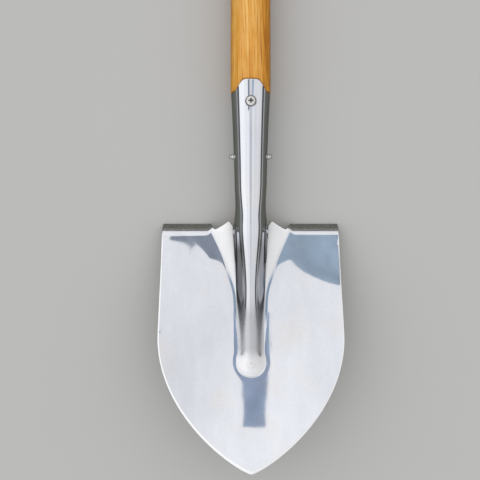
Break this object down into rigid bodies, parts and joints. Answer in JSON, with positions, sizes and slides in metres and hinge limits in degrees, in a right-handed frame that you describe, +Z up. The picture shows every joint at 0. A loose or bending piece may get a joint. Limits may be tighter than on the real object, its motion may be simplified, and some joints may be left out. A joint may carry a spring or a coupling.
{
  "type": "garden shovel",
  "caption": "Round-point garden shovel: dished stainless blade with back-turned treads, raised frog and rolled socket, on a lacquered wooden shaft with a split Y grip.",
  "frame": {"origin": "middle of the box that the shovel fills as it lies on its back, on the ground", "axes": "+Z up, out of the blade's front; +Y along the shaft from the blade's point to the grip; +X across the blade"},
  "size_m": [0.1816, 1.0314, 0.0769],
  "materials": {
    "stainless_sheet": "satin",
    "lacquered_ash": "lacquered",
    "bright_steel": "plated"
  },
  "bodies": {
    "root": {"head": "stainless_sheet", "shaft": "lacquered_ash", "grip": "lacquered_ash", "tongue_screw": "bright_steel", "socket_rivet": "bright_steel", "socket_washer_left": "bright_steel", "socket_washer_right": "bright_steel", "grip_rod": "bright_steel", "grip_washer_left": "bright_steel", "grip_washer_right": "bright_steel", "throat_rivet": "bright_steel", "throat_washer_left": "bright_steel", "throat_washer_right": "bright_steel"}
  },
  "joints": []
}
